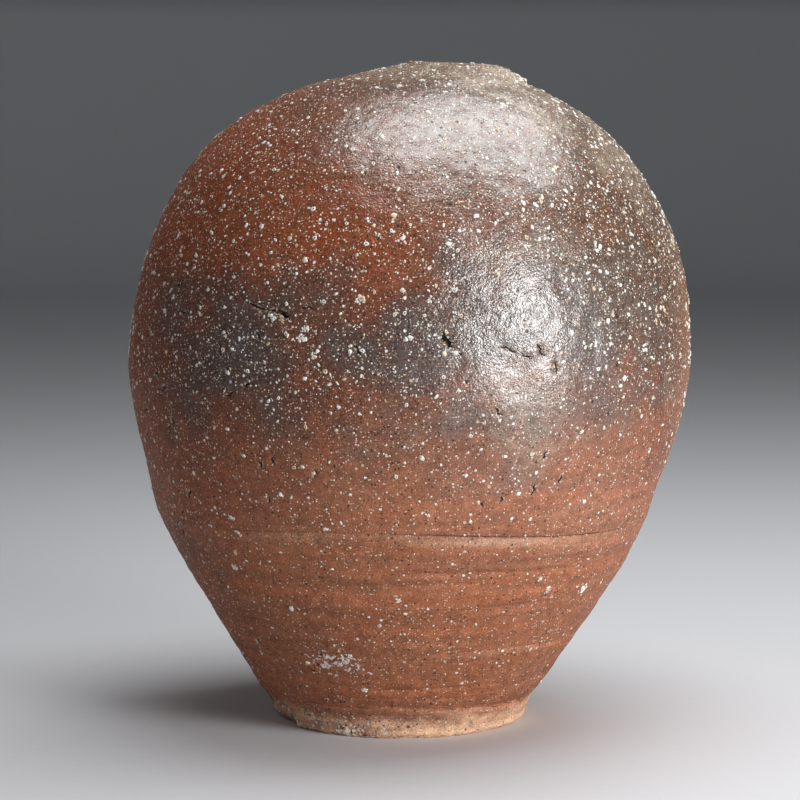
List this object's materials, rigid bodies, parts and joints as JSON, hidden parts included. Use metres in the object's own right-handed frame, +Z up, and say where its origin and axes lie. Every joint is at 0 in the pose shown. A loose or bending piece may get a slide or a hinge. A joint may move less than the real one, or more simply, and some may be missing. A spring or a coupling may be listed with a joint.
{
  "type": "storage jar",
  "caption": "Wide-shouldered stoneware storage jar raised from pinched clay coils on a flat slab, with a small off-centre mouth in the worn stump of its neck.",
  "frame": {"origin": "centre of the standing face", "axes": "+Z up through the mouth, +X to the right of the front, -Y towards the viewer of the front"},
  "size_m": [0.3422, 0.342, 0.4011],
  "materials": {
    "foot_clay": "bare fired stoneware, dry and chipped",
    "lower_clay": "bare fired stoneware, wiped round and grainy",
    "belly_clay": "bare fired stoneware with white grains, satin",
    "shoulder_clay": "scorched stoneware with a thin natural ash sheen",
    "crown_clay": "stoneware under a thin natural ash gloss, densely speckled"
  },
  "bodies": {
    "root": {"base_slab": "foot_clay", "lower_coil_1": "lower_clay", "lower_coil_2": "lower_clay", "lower_coil_3": "lower_clay", "belly_coil_1": "belly_clay", "belly_coil_2": "belly_clay", "belly_coil_3": "belly_clay", "shoulder_coil_1": "shoulder_clay", "shoulder_coil_2": "shoulder_clay", "shoulder_coil_3": "shoulder_clay", "crown_coil_1": "crown_clay", "crown_coil_2": "crown_clay", "crown_coil_3": "crown_clay", "neck_stump": "crown_clay"}
  },
  "joints": []
}
